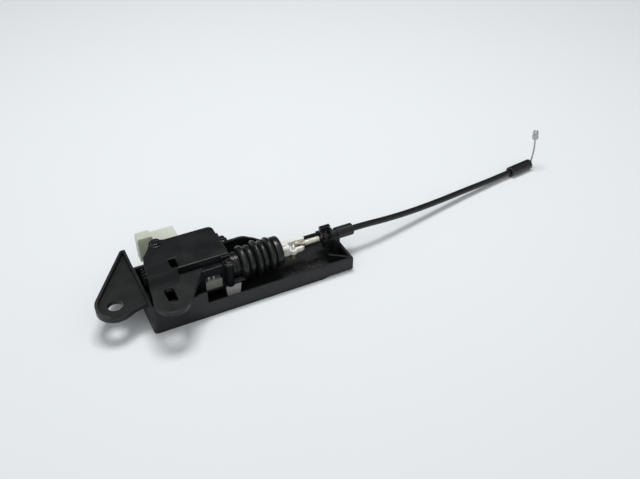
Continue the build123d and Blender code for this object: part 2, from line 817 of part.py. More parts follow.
with BuildPart() as contact_blades:
    with BuildSketch(Plane.XY.offset(carrier_top)):
        with Locations((recess_left + 3.2, blade_y), (recess_left + 6.8, blade_y)):
            Rectangle(1.6, 0.7)
    extrude(amount=4.2)
contact_blades.part.label = "contact_blades"
export_step(contact_blades.part, "parts/contact_blades.step")

# Motor: a can with two flats on its end cap, its shaft and its pinion
motor_floor = housing_bottom + shell
motor_at = (motor_x, motor_y)


def motor_face(diameter, flats):
    with BuildSketch(mode=Mode.PRIVATE) as plan:
        with Locations(motor_at):
            Circle(diameter / 2)
            Rectangle(diameter, flats, mode=Mode.INTERSECT)
    return plan.sketch


with BuildPart() as motor_end_cap:
    with BuildSketch(Plane.XY.offset(motor_floor)):
        add(motor_face(motor_diameter - 0.8, motor_flats - 0.8))
        with Locations(motor_at):
            Circle(shaft_radius + running_gap, mode=Mode.SUBTRACT)
    extrude(amount=motor_cap)
motor_end_cap.part.label = "motor_end_cap"
export_step(motor_end_cap.part, "parts/motor_end_cap.step")

with BuildPart() as motor_can:
    with BuildSketch(Plane.XY.offset(motor_floor + motor_cap)):
        add(motor_face(motor_diameter, motor_flats))
        with Locations(motor_at):
            Circle(shaft_radius + running_gap, mode=Mode.SUBTRACT)
    extrude(amount=motor_top - motor_floor - motor_cap)
motor_can.part.label = "motor_can"
export_step(motor_can.part, "parts/motor_can.step")

with BuildPart() as motor_shaft:
    with BuildSketch(Plane.XY.offset(motor_floor + 0.3)):
        with Locations(motor_at):
            Circle(shaft_radius)
    extrude(amount=wheel_z + wheel_thick + 1.0 - motor_floor - 0.3)
motor_shaft.part.label = "motor_shaft"
export_step(motor_shaft.part, "parts/motor_shaft.step")

# Gears stand in mesh: the phase of each turns a tooth or a gap to its partner
to_motor = atan2(motor_y - wheel_y, motor_x - wheel_x)
with BuildPart() as motor_pinion:
    with BuildSketch(Plane((*motor_at, wheel_z))):
        with BuildLine():
            Polyline(*gear_points(motor_teeth, train_module, to_motor + pi + pi / motor_teeth), close=True)
        make_face()
        Circle(shaft_radius, mode=Mode.SUBTRACT)
    extrude(amount=wheel_thick)
motor_pinion.part.label = "motor_pinion"
export_step(motor_pinion.part, "parts/motor_pinion.step")

with BuildPart() as drive_gear:
    with BuildSketch(Plane((*wheel_at, pinion_z))):
        with BuildLine():
            Polyline(*gear_points(pinion_teeth, rack_module, -pi / 2), close=True)
        make_face()
    extrude(amount=pinion_top - pinion_z)
    with BuildSketch(Plane((*wheel_at, pinion_top))):
        Circle(pinion_teeth * rack_module / 2 - rack_module)
    extrude(amount=wheel_z - pinion_top)
    with BuildSketch(Plane((*wheel_at, wheel_z))):
        with BuildLine():
            Polyline(*gear_points(wheel_teeth, train_module, to_motor), close=True)
        make_face()
    extrude(amount=wheel_thick)
    with BuildSketch(Plane((*wheel_at, pinion_z))):
        Circle(axle_radius + running_gap)
    extrude(amount=wheel_z + wheel_thick - pinion_z, mode=Mode.SUBTRACT)
drive_gear.part.label = "drive_gear"
export_step(drive_gear.part, "parts/drive_gear.step")

with BuildPart() as gear_axle:
    with BuildSketch(Plane.XY.offset(housing_bottom + 1)):
        with Locations(wheel_at):
            Circle(axle_radius)
    extrude(amount=axle_top - housing_bottom - 1)
gear_axle.part.label = "gear_axle"
export_step(gear_axle.part, "parts/gear_axle.step")

# Rod with its rack: a square rail with teeth along its back, then a round rod
rack_pitch = pi * rack_module
rack_tip = rod_diameter / 2
tooth_root = pi * rack_module / 4 - backlash / 2 + rack_module * tan(pressure_angle)
tooth_tip = pi * rack_module / 4 - backlash / 2 - 0.8 * rack_module * tan(pressure_angle)
first_tooth = -int((wheel_x - rod_left - 4.0) / rack_pitch) + 0.5
tooth_count = int((rack_end - wheel_x - first_tooth * rack_pitch - 1.0) / rack_pitch) + 1
with BuildPart() as rack_rod:
    with BuildSketch(Plane.XY.offset(axis_z - rod_diameter / 2)):
        with Locations((rod_left, -rod_diameter / 2)):
            Rectangle(rack_end - rod_left, rail_y + rod_diameter / 2, align=Align.MIN)
        for tooth in range(tooth_count):
            middle = wheel_x + (first_tooth + tooth) * rack_pitch
            with BuildLine():
                Polyline(
                    (middle - tooth_root, rail_y),
                    (middle - tooth_tip, rack_tip),
                    (middle + tooth_tip, rack_tip),
                    (middle + tooth_root, rail_y),
                    close=True,
                )
            make_face()
    extrude(amount=rod_diameter)
    with BuildSketch(across_x(rack_end)):
        Circle(rod_diameter / 2)
    extrude(amount=bellows_end + 5.0 - rack_end)
rack_rod.part.label = "rack_rod"
export_step(rack_rod.part, "parts/rack_rod.step")

# Flanged bush in the housing's end wall, with the spigot that carries the bellows
bush_face = housing_right + bush_flange
with BuildPart() as rod_bush:
    with BuildSketch(across_x(housing_right)):
        Circle(bush_radius)
    extrude(amount=-shell)
    with BuildSketch(across_x(housing_right)):
        Circle(bush_flange_radius)
    extrude(amount=bush_flange)
    with BuildSketch(across_x(bush_face)):
        Circle(spigot_radius)
    extrude(amount=spigot_length)
    with BuildSketch(across_x(housing_right - shell)):
        Circle(rod_diameter / 2 + running_gap)
    extrude(amount=shell + bush_flange + spigot_length, mode=Mode.SUBTRACT)
rod_bush.part.label = "rod_bush"
export_step(rod_bush.part, "parts/rod_bush.step")

# Bellows: cuff, five folds of two sizes and the end cap, turned about the rod axis
cuff_start = bush_face + 0.2
cuff_end = bush_face + spigot_length + 0.4
cap_start = bellows_end - 5.5
fold_radii = [12.8, 11.7, 13.7, 11.9, 13.2]
fold_shares = [0.14, 0.33, 0.52, 0.70, 0.88]
valley_radius = 9.4
fold_round = 1.1
fold_span = cap_start - cuff_end
folds = [(cuff_end + share * fold_span, radius) for share, radius in zip(fold_shares, fold_radii)]
valley_xs = [(folds[i][0] + folds[i + 1][0]) / 2 for i in range(len(folds) - 1)]
zigzag = [(cuff_end + 1.2, valley_radius - 0.5)]
for i, fold in enumerate(folds):
    zigzag.append(fold)
    zigzag.append((valley_xs[i] if i < len(valley_xs) else cap_start - 0.2, valley_radius))
bellows_plane = Plane(origin=(0, 0, axis_z), x_dir=(1, 0, 0), z_dir=(0, -1, 0))
with BuildPart() as bellows:
    with BuildSketch(bellows_plane):
        with BuildLine():
            FilletPolyline(
                (cuff_end, cuff_radius - 0.4), *zigzag, (cap_start + 0.6, 12.0), radius=fold_round
            )
            Polyline(
                (cap_start + 0.6, 12.0),
                (bellows_end - 0.8, 12.0),
                (bellows_end, 11.2),
                (bellows_end, clevis_neck + fit_gap),
                (bellows_end - 3.0, clevis_neck + fit_gap),
                (bellows_end - 3.0, 10.0),
                (cap_start + 1.0, 10.0),
            )
            FilletPolyline(
                (cap_start + 1.0, 10.0),
                *[(x, radius - bellows_wall) for x, radius in zigzag[::-1]],
                (cuff_end, cuff_radius - 1.8),
                radius=fold_round / 2,
            )
            Polyline(
                (cuff_end, cuff_radius - 1.8),
                (cuff_end, spigot_radius + fit_gap),
                (cuff_start, spigot_radius + fit_gap),
                (cuff_start, cuff_radius),
                (cuff_start + 2.0, cuff_radius),
                (cuff_start + 2.4, cuff_radius - 0.5),
                (cuff_start + 3.0, cuff_radius - 0.5),
                (cuff_start + 3.4, cuff_radius),
                (cuff_end - 0.6, cuff_radius),
                (cuff_end, cuff_radius - 0.4),
            )
        make_face()
    revolve(axis=Axis((0, 0, axis_z), (1, 0, 0)))
bellows.part.label = "bellows"
export_step(bellows.part, "parts/bellows.step")

# Clevis on the rod's end: neck, hub, a long arm, and a short arm with the hook's eye
hub_start = bellows_end + 0.2
hub_end = hub_start + hub_length
fork_z = axis_z - fork_height / 2
arm_width = (hub_across - fork_slot) / 2
with BuildPart() as clevis:
    with BuildSketch(across_x(bellows_end - 3.0)):
        Circle(clevis_neck)
    extrude(amount=hub_start - bellows_end + 3.0)
    with BuildSketch(across_x(hub_start)):
        RectangleRounded(hub_across, hub_height, 2.0)
    extrude(amount=hub_end - hub_start)
    with BuildSketch(Plane.XY.offset(axis_z)):
        with Locations(((hub_start + hub_end) / 2, 0)):
            Circle(3.2)
    extrude(amount=hub_height / 2 + 1.0, taper=8)
    with BuildSketch(Plane.XY.offset(fork_z)):
        with Locations((hub_end - 1, hub_across / 2)):
            Rectangle(clevis_end - hub_end + 1, arm_width, align=(Align.MIN, Align.MAX))
    extrude(amount=fork_height)
    fillet(clevis.edges().filter_by(Axis.Z).group_by(Axis.X)[-1], 1.0)
    with BuildSketch(Plane.XY.offset(fork_z)):
        with BuildLine():
            Polyline(
                (hub_end - 1, -hub_across / 2),
                (short_arm_end - 2.5, -hub_across / 2),
                (short_arm_end, -hub_across / 2 + arm_width / 2),
                (short_arm_end - 2.5, -hub_across / 2 + arm_width),
                (hub_end - 1, -hub_across / 2 + arm_width),
                close=True,
            )
        make_face()
        with Locations((hook_x, hook_y)):
            Circle(eye_radius)
    extrude(amount=short_arm_height)
    with BuildSketch(Plane.XY.offset(fork_z)):
        with Locations((hub_end - 1, 0)):
            Rectangle(hook_x + 2.0 - hub_end, hub_across, align=(Align.MIN, Align.CENTER))
    extrude(amount=web_thick)
    with BuildSketch(Plane.XY.offset(fork_z)):
        with Locations((hook_x, hook_y)):
            Circle(hook_diameter / 2 + fit_gap)
    extrude(amount=fork_height, mode=Mode.SUBTRACT)
    with BuildSketch(across_x(bellows_end - 3.0)):
        Circle(rod_diameter / 2 + 0.02)
    extrude(amount=8.0, mode=Mode.SUBTRACT)
clevis.part.label = "clevis"
export_step(clevis.part, "parts/clevis.step")

# Hook: a bent wire that lies between the arms and goes down through the eye
hook_top = axis_z + hook_rise
with BuildPart() as cable_hook:
    with BuildLine() as hook_path:
        FilletPolyline(
            (crimp_start + 3.0, 0, axis_z),
            (crimp_start - 1.5, 0, axis_z),
            (crimp_start - 5.0, 0, hook_top),
            (hook_x + 2.6, 0, hook_top),
            (hook_x, hook_y, hook_top),
            (hook_x, hook_y, hook_bottom),
            radius=[3.0, 3.0, 1.6, 1.6],
        )
    with BuildSketch(Plane(origin=hook_path.line @ 0, z_dir=hook_path.line % 0)):
        Circle(hook_diameter / 2)
    sweep()
cable_hook.part.label = "cable_hook"
export_step(cable_hook.part, "parts/cable_hook.step")

with BuildPart() as crimp_sleeve:
    with BuildSketch(across_x(crimp_start)):
        Circle(crimp_diameter / 2)
    extrude(amount=crimp_end - crimp_start)
    chamfer(crimp_sleeve.edges().filter_by(GeomType.CIRCLE), 0.4)
    with BuildSketch(across_x(crimp_start)):
        Circle(hook_diameter / 2 + 0.02)
    extrude(amount=3.0, mode=Mode.SUBTRACT)
    with BuildSketch(across_x(crimp_end)):
        Circle(wire_diameter / 2 + 0.02)
    extrude(amount=-5.0, mode=Mode.SUBTRACT)
crimp_sleeve.part.label = "crimp_sleeve"
export_step(crimp_sleeve.part, "parts/crimp_sleeve.step")

with BuildPart() as inner_wire:
    with BuildSketch(across_x(crimp_end - 5.0)):
        Circle(wire_diameter / 2)
    extrude(amount=wire_reach - crimp_end + 5.0)
inner_wire.part.label = "inner_wire"
export_step(inner_wire.part, "parts/inner_wire.step")

# Cable end fitting: disc, hub, neck in the saddle and the sleeve that takes the casing
disc_x = clip_left + clip_leg + 0.6
hub_end_x = post_right - post_thick - 0.1
with BuildPart() as cable_fitting:
    with BuildSketch(across_x(disc_x)):
        Circle(disc_diameter / 2)
    extrude(amount=disc_thick)
    with BuildSketch(across_x(disc_x + disc_thick)):
        Circle(hub_diameter / 2)
    extrude(amount=hub_end_x - disc_x - disc_thick)
    with BuildSketch(across_x(hub_end_x)):
        Circle(neck_diameter / 2)
    extrude(amount=post_thick + 0.2)
    with BuildSketch(across_x(post_right + 0.1)):
        Circle(sleeve_diameter / 2)
    extrude(amount=sleeve_end - post_right - 0.1)
    chamfer(cable_fitting.edges().filter_by(GeomType.CIRCLE).sort_by(Axis.X)[-1], 0.5)
    with BuildSketch(across_x(disc_x)):
        Circle(wire_diameter / 2 + 0.35)
    extrude(amount=wire_reach - disc_x + 1.5, mode=Mode.SUBTRACT)
cable_fitting.part.label = "cable_fitting"
export_step(cable_fitting.part, "parts/cable_fitting.step")

# Retaining clip: two arched plates with a lug each, joined by low side walls
with BuildPart() as retaining_clip:
    with BuildSketch(Plane.XY.offset(clip_bottom)):
        with Locations((clip_left, 0)):
            Rectangle(clip_right - clip_left, clip_width, align=(Align.MIN, Align.CENTER))
    extrude(amount=clip_side_top - clip_bottom)
    with BuildSketch(Plane.XY.offset(clip_side_top)):
        with Locations((clip_left, 0)):
            Rectangle(clip_right - clip_left, clip_lug, align=(Align.MIN, Align.CENTER))
    extrude(amount=clip_top - clip_side_top)
    with BuildSketch(Plane.XY.offset(clip_bottom)):
        with Locations((clip_left + clip_leg, 0)):
            Rectangle(
                clip_right - clip_left - 2 * clip_leg,
                clip_width - 2 * clip_side,
                align=(Align.MIN, Align.CENTER),
            )
    extrude(amount=clip_top - clip_bottom, mode=Mode.SUBTRACT)
    with BuildSketch(across_x(clip_left - 1)):
        Circle(hub_diameter / 2 + fit_gap)
        Rectangle(hub_diameter + 2 * fit_gap, axis_z, align=(Align.CENTER, Align.MAX))
    extrude(amount=clip_right - clip_left + 2, mode=Mode.SUBTRACT)
    fillet(retaining_clip.edges().filter_by(Axis.Y).group_by(Axis.Z)[-1], 0.6)
retaining_clip.part.label = "retaining_clip"
export_step(retaining_clip.part, "parts/retaining_clip.step")

# Casing: straight runs joined by tangent arcs, each as large as its two runs allow
far_z = ferrule_diameter / 2 + 0.05
ferrule_start = Vector(268.0, 27.5, far_z)
route = [
    Vector(sleeve_end, 0, axis_z),
    Vector(102.0, 0, axis_z),
    Vector(122.0, 2.3, 16.5),
    Vector(150.0, 7.2, 12.2),
    Vector(180.0, 12.9, 9.0),
    Vector(210.5, 18.7, 6.8),
    Vector(236.0, 22.8, 5.3),
    Vector(253.0, 25.5, far_z),
    ferrule_start,
]
arc_radii = []
for here in range(1, len(route) - 1):
    run_in = route[here] - route[here - 1]
    run_out = route[here + 1] - route[here]
    half_turn = radians(run_in.get_angle(run_out)) / 2
    arc_radii.append(0.45 * min(run_in.length, run_out.length) / tan(half_turn))
print("casing arc radii", [round(radius, 1) for radius in arc_radii])
with BuildPart() as cable_casing:
    with BuildLine() as casing_path:
        FilletPolyline(*route, radius=arc_radii)
    with BuildSketch(Plane(origin=casing_path.line @ 0, z_dir=casing_path.line % 0)):
        Circle(casing_diameter / 2)
    sweep()
cable_casing.part.label = "cable_casing"
export_step(cable_casing.part, "parts/cable_casing.step")
casing_length = casing_path.wires()[0].length
print("casing length", round(casing_length, 1))
straight_volume = pi * casing_diameter**2 / 4 * casing_length
print("casing volume share", round(cable_casing.part.volume / straight_volume, 4))

# Ferrule on the casing's end, its mouth open for the inner wire
ferrule_way = casing_path.line % 1
ferrule_end = ferrule_start + ferrule_way * ferrule_length
with BuildPart() as end_ferrule:
    with BuildSketch(Plane(origin=ferrule_start, z_dir=ferrule_way)):
        Circle(ferrule_diameter / 2)
    extrude(amount=ferrule_length)
    chamfer(end_ferrule.edges().filter_by(GeomType.CIRCLE), 0.6)
    with BuildSketch(Plane(origin=ferrule_end, z_dir=ferrule_way)):
        Circle(wire_diameter / 2 + 1.2)
    extrude(amount=-2.0, mode=Mode.SUBTRACT)
end_ferrule.part.label = "end_ferrule"
export_step(end_ferrule.part, "parts/end_ferrule.step")

# Wire that stands up out of the ferrule's mouth, and the nipple on its end
mouth = ferrule_end - ferrule_way * 2.0
rise = [
    mouth,
    ferrule_end + ferrule_way * 1.7,
    ferrule_end + Vector(2.5, 0.8, 10.3),
    ferrule_end + Vector(3.5, 1.3, 17.0),
    ferrule_end + Vector(3.0, 1.7, 24.9),
]
with BuildPart() as wire_end:
    with BuildLine() as rise_path:
        FilletPolyline(*rise, radius=[1.6, 20.0, 20.0])
    with BuildSketch(Plane(origin=rise_path.line @ 0, z_dir=rise_path.line % 0)):
        Circle(wire_diameter / 2)
    sweep()
wire_end.part.label = "wire_end"
export_step(wire_end.part, "parts/wire_end.step")

nipple_way = rise_path.line % 1
with BuildPart() as cable_nipple:
    with BuildSketch(Plane(origin=rise[-1], z_dir=nipple_way)):
        Circle(nipple_diameter / 2)
    extrude(amount=nipple_length)
    chamfer(cable_nipple.edges().filter_by(GeomType.CIRCLE), 0.5)
cable_nipple.part.label = "cable_nipple"
export_step(cable_nipple.part, "parts/cable_nipple.step")
print("nipple at", rise[-1], "mouth at", ferrule_end)
print("gear at", wheel_x, wheel_y, "motor at", motor_x, motor_y)
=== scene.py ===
"""Looks of the hood release cable and its actuator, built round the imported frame. Metres, +Z up."""

import math

import bmesh
import bpy
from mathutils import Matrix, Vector


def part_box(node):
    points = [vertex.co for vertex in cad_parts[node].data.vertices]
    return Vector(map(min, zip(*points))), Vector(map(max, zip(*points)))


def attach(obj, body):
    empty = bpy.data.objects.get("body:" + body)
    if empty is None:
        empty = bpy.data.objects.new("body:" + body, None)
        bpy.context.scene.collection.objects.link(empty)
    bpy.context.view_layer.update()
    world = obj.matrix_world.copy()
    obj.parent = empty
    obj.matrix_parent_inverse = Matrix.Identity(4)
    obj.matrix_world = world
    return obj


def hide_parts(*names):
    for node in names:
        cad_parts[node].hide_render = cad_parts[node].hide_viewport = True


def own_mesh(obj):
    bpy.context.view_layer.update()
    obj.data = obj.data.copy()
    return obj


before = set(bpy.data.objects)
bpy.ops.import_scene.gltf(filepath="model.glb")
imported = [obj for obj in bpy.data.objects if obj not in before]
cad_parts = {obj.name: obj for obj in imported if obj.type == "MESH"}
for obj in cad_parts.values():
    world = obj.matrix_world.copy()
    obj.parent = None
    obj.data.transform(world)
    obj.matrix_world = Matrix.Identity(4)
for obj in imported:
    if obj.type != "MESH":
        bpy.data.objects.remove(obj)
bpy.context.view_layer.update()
MM = 0.001
AXIS_Z = 19.8 * MM

# Camera, fitted to the photograph: where it stands, how it is turned, and its lens
CAMERA_AT = (-0.1474, -0.4113, 0.3791)
CAMERA_DOWN = math.radians(38.0)
CAMERA_YAW = math.radians(27.0)
CAMERA_ROLL = math.radians(0.3)
LENS_PIXELS = 760
FRAME_PIXELS = 640
SENSOR_WIDTH = 36.0


def make_camera():
    data = bpy.data.cameras.new("camera")
    data.sensor_width = SENSOR_WIDTH
    data.lens = SENSOR_WIDTH * LENS_PIXELS / FRAME_PIXELS
    data.clip_start = 0.01
    data.clip_end = 20.0
    camera = bpy.data.objects.new("camera", data)
    camera.location = CAMERA_AT
    camera.rotation_euler = (math.pi / 2 - CAMERA_DOWN, 0, -CAMERA_YAW)
    camera.rotation_euler.rotate_axis("Z", CAMERA_ROLL)
    bpy.context.scene.collection.objects.link(camera)
    bpy.context.scene.camera = camera


# Cord: the casing's route is the one that the tube follows in the part, in metres
ROUTE = (
    (0.0899, 0.0, 0.0198),
    (0.102, 0.0, 0.0198),
    (0.122, 0.0023, 0.0165),
    (0.150, 0.0072, 0.0122),
    (0.180, 0.0129, 0.0090),
    (0.2105, 0.0187, 0.0068),
    (0.236, 0.0228, 0.0053),
    (0.253, 0.0255, 0.00465),
    (0.268, 0.0275, 0.00465),
)
CASING_DIAMETER = 0.005


def route_curve(name, points, radius):
    """A smooth curve with the points as its control points, as thick as twice the radius."""
    data = bpy.data.curves.new(name, "CURVE")
    data.dimensions = "3D"
    data.resolution_u = 24
    data.bevel_depth = radius
    data.bevel_resolution = 12
    spline = data.splines.new("NURBS")
    spline.points.add(len(points) - 1)
    for point, place in zip(spline.points, points):
        point.co = (*place, 1.0)
    spline.order_u = 3
    spline.use_endpoint_u = True
    made = bpy.data.objects.new(name, data)
    bpy.context.scene.collection.objects.link(made)
    return made


# Finishes: how far a lit edge fades out past its range, in millimetres, and the relief of a smooth moulding
EDGE_FADE = 0.2
SMOOTH_DEPTH = 0.006 * MM


class Finish:
    """A node-built material: a base surface, to which layers of colour, roughness and relief are added."""

    def __init__(self, name, color, roughness, metallic=0.0, specular=0.5):
        self.material = bpy.data.materials.new(name)
        self.material.use_nodes = True
        self.tree = self.material.node_tree
        self.surface = self.tree.nodes["Principled BSDF"]
        self.surface.inputs["Base Color"].default_value = (*color, 1.0)
        self.surface.inputs["Roughness"].default_value = roughness
        self.surface.inputs["Metallic"].default_value = metallic
        self.surface.inputs["Specular IOR Level"].default_value = specular
        self.place = self.node("ShaderNodeTexCoord").outputs["Object"]
        self.color = None
        self.normal = None
        self.edge_highlight = None
        self.base = color

    def node(self, kind, **settings):
        made = self.tree.nodes.new(kind)
        for name, value in settings.items():
            setattr(made, name, value)
        return made

    def link(self, source, target):
        self.tree.links.new(source, target)

    def noise(self, size, detail=2.0, stretch=(1.0, 1.0, 1.0)):
        """Noise from 0 to 1 whose features are about size metres across."""
        mapping = self.node("ShaderNodeMapping")
        mapping.inputs["Scale"].default_value = stretch
        self.link(self.place, mapping.inputs["Vector"])
        texture = self.node("ShaderNodeTexNoise")
        texture.inputs["Scale"].default_value = 0.5 / size
        texture.inputs["Detail"].default_value = detail
        self.link(mapping.outputs["Vector"], texture.inputs["Vector"])
        return texture.outputs["Fac"]

    def between(self, value, low, high, to_low=0.0, to_high=1.0):
        """value spread from low..high to to_low..to_high, and held there."""
        spread = self.node("ShaderNodeMapRange")
        for name, number in (("From Min", low), ("From Max", high), ("To Min", to_low), ("To Max", to_high)):
            spread.inputs[name].default_value = number
        self.link(value, spread.inputs["Value"])
        return spread.outputs["Result"]

    def combine(self, kind, first, second):
        """An operation on two values, each a number or a node's output."""
        made = self.node("ShaderNodeMath", operation=kind)
        for socket, value in zip(made.inputs, (first, second)):
            if isinstance(value, (int, float)):
                socket.default_value = value
            else:
                self.link(value, socket)
        return made.outputs["Value"]

    def tint(self, mask, color):
        """The colour changes to color where mask is 1."""
        mix = self.node("ShaderNodeMix", data_type="RGBA")
        self.link(mask, mix.inputs["Factor"])
        if self.color is None:
            mix.inputs["A"].default_value = (*self.base, 1.0)
        else:
            self.link(self.color, mix.inputs["A"])
        mix.inputs["B"].default_value = (*color, 1.0)
        self.color = mix.outputs["Result"]
        self.link(self.color, self.surface.inputs["Base Color"])

    def along(self, axis):
        """The place on one axis of the frame, in metres."""
        split = self.node("ShaderNodeSeparateXYZ")
        self.link(self.place, split.inputs["Vector"])
        return split.outputs[axis]

    def light_edges(self, color, ranges):
        """The edges within the ranges, (axis, low, high) in millimetres, catch the light and show color."""
        mask = self.edge_highlight
        for axis, low, high in ranges:
            place = self.along(axis)
            above = self.between(place, (low - EDGE_FADE) * MM, low * MM)
            mask = self.combine("MULTIPLY", mask, above)
            below = self.between(place, (high + EDGE_FADE) * MM, high * MM)
            mask = self.combine("MULTIPLY", mask, below)
        self.tint(mask, color)

    def shade_walls(self, level, wall_level):
        """Specular level on flat tops, and a lower one on upright walls, which stands in for the shade on
        them.
        """
        flat = self.node("ShaderNodeNewGeometry")
        split = self.node("ShaderNodeSeparateXYZ")
        self.link(flat.outputs["Normal"], split.inputs["Vector"])
        steep = self.between(split.outputs["Z"], 0.25, 0.65, wall_level, level)
        self.link(steep, self.surface.inputs["Specular IOR Level"])

    def glow_within(self, weight, radius):
        """Light spreads inside the plastic over the radius, in metres."""
        self.surface.inputs["Subsurface Weight"].default_value = weight
        self.surface.inputs["Subsurface Radius"].default_value = (1.0, 1.0, 0.8)
        self.surface.inputs["Subsurface Scale"].default_value = radius

    def vary_roughness(self, value, low, high):
        """Roughness goes from low to high with the value."""
        self.link(self.between(value, 0.3, 0.7, low, high), self.surface.inputs["Roughness"])

    def soft_edges(self, radius):
        """Shades the edges as if they were rounded, and returns a mask of them."""
        bevel = self.node("ShaderNodeBevel", samples=6)
        bevel.inputs["Radius"].default_value = radius
        self.normal = bevel.outputs["Normal"]
        self.link(self.normal, self.surface.inputs["Normal"])
        flat = self.node("ShaderNodeNewGeometry")
        meet = self.node("ShaderNodeVectorMath", operation="DOT_PRODUCT")
        self.link(bevel.outputs["Normal"], meet.inputs[0])
        self.link(flat.outputs["Normal"], meet.inputs[1])
        return self.between(meet.outputs["Value"], 0.995, 0.85)

    def relief(self, height, depth):
        """The surface rises and falls with height, by depth in metres."""
        bump = self.node("ShaderNodeBump")
        bump.inputs["Distance"].default_value = depth
        bump.inputs["Strength"].default_value = 1.0
        self.link(height, bump.inputs["Height"])
        if self.normal is not None:
            self.link(self.normal, bump.inputs["Normal"])
        self.normal = bump.outputs["Normal"]
        self.link(self.normal, self.surface.inputs["Normal"])


def moulded_plastic(
    name, color, roughness, grain=0.35 * MM, depth=0.02 * MM, edge=0.35 * MM, edge_color=None, specular=0.35
):
    """Injection-moulded plastic: spark-eroded grain, cloudy sheen and a painted highlight on the edges in
    edge_color, broken up by noise.
    """
    finish = Finish(name, color, roughness, specular=specular)
    edge_highlight = finish.soft_edges(edge)
    highlight_breakup = finish.noise(3.0 * MM, 3.0)
    patch = finish.combine("MULTIPLY", edge_highlight, finish.between(highlight_breakup, 0.25, 0.75, 0.35, 1.0))
    cloud = finish.between(finish.noise(14 * MM, 3.0), 0.35, 0.75, 0.0, 0.5)
    finish.tint(cloud, [c * 1.3 + 0.001 for c in color])
    # Painted highlight: the edges are tinted lighter, in patches.
    finish.tint(patch, edge_color or [c * 2.2 + 0.010 for c in color])
    finish.edge_highlight = edge_highlight
    finish.vary_roughness(finish.noise(6 * MM, 3.0), roughness - 0.06, roughness + 0.08)
    finish.relief(finish.noise(grain, 2.0), depth)
    return finish


# Edges that catch the light, as ranges in millimetres: the high ear's end, and the housing's lips
EAR_EDGE = (("Z", 32.2, 34.0), ("X", -79.0, -48.0), ("Y", -46.0, -26.0))
EAR_EDGE_COLOR = (0.085, 0.090, 0.092)
HOUSING_LIPS = (
    (("Z", 38.0, 39.0), ("X", -52.0, -20.0), ("Y", -9.0, -6.9)),
    (("Z", 38.0, 39.0), ("X", -57.0, -50.0), ("Y", 4.1, 5.2)),
    (("Z", 31.2, 32.4), ("X", -46.0, -22.0), ("Y", -16.0, -8.5)),
)
LIP_COLOR = (0.190, 0.196, 0.200)


def bracket_plastic():
    """The tray's black, with a few specks of dust on its floor."""
    finish = moulded_plastic("bracket_black", (0.0070, 0.0076, 0.0080), 0.42, edge=0.45 * MM)
    finish.light_edges(EAR_EDGE_COLOR, EAR_EDGE)
    speck = finish.between(finish.noise(1.0 * MM, 3.0), 0.60, 0.68)
    low = finish.between(finish.along("Z"), 3.5 * MM, 2.8 * MM)
    inside = finish.between(finish.along("X"), 20 * MM, 30 * MM)
    dust = finish.combine("MULTIPLY", finish.combine("MULTIPLY", speck, low), inside)
    finish.tint(dust, (0.075, 0.066, 0.052))
    return finish.material


def housing_plastic():
    finish = moulded_plastic(
        "housing_black",
        (0.0062, 0.0072, 0.0076),
        0.33,
        grain=0.3 * MM,
        edge=0.45 * MM,
        edge_color=(0.040, 0.043, 0.045),
    )
    # Painted shade: upright walls get less sheen than flat tops.
    finish.shade_walls(0.42, 0.06)
    for lip in HOUSING_LIPS:
        finish.light_edges(LIP_COLOR, lip)
    return finish.material


def skirt_plastic():
    """The same black as the housing's, without its painted edge highlight and with less sheen, so that its
    slope shows no reflection.
    """
    color = (0.0085, 0.0092, 0.0095)
    finish = moulded_plastic("skirt_black", color, 0.60, grain=0.3 * MM, edge_color=color, specular=0.10)
    return finish.material


def pale_plastic():
    """The plug socket's milky plastic, a little paler towards its right side."""
    finish = moulded_plastic(
        "connector_pale",
        (0.50, 0.525, 0.455),
        0.40,
        grain=0.6 * MM,
        depth=SMOOTH_DEPTH,
        edge_color=(0.84, 0.86, 0.80),
    )
    mouth = finish.between(finish.along("X"), -45.2 * MM, -44.8 * MM, 0.0, 0.5)
    finish.tint(mouth, (0.58, 0.60, 0.53))
    finish.glow_within(0.95, 5.0 * MM)
    return finish.material


def white_nylon():
    finish = moulded_plastic(
        "nylon_white",
        (0.72, 0.72, 0.68),
        0.34,
        grain=0.6 * MM,
        depth=SMOOTH_DEPTH,
        edge_color=(0.86, 0.86, 0.83),
    )
    finish.glow_within(0.5, 1.5 * MM)
    return finish.material


def gear_plastic():
    return moulded_plastic("gear_natural", (0.55, 0.54, 0.47), 0.4, edge_color=(0.7, 0.69, 0.62)).material


def gear_dark():
    return moulded_plastic("gear_black", (0.010, 0.010, 0.010), 0.4).material


def carrier_plastic():
    finish = moulded_plastic(
        "carrier_grey_green",
        (0.27, 0.29, 0.245),
        0.42,
        grain=0.5 * MM,
        depth=SMOOTH_DEPTH,
        edge_color=(0.42, 0.44, 0.38),
    )
    finish.glow_within(0.3, 1.2 * MM)
    return finish.material


def clip_plastic():
    finish = moulded_plastic(
        "clip_black",
        (0.0060, 0.0063, 0.0068),
        0.24,
        grain=0.5 * MM,
        depth=SMOOTH_DEPTH,
        edge=0.3 * MM,
        specular=0.5,
    )
    return finish.material


def sleeve_plastic():
    finish = moulded_plastic(
        "sleeve_black", (0.0095, 0.0098, 0.0100), 0.38, grain=0.25 * MM, depth=0.010 * MM
    )
    return finish.material


def casing_plastic():
    finish = Finish("casing_black", (0.0055, 0.0057, 0.0060), 0.30, specular=0.45)
    scuff = finish.noise(2.5 * MM, 4.0, stretch=(0.25, 1.0, 1.0))
    finish.tint(finish.between(scuff, 0.55, 0.85, 0.0, 0.4), (0.022, 0.022, 0.023))
    finish.vary_roughness(finish.noise(5 * MM, 3.0), 0.22, 0.36)
    finish.relief(finish.noise(0.5 * MM, 2.0, stretch=(0.3, 1.0, 1.0)), 0.006 * MM)
    return finish.material


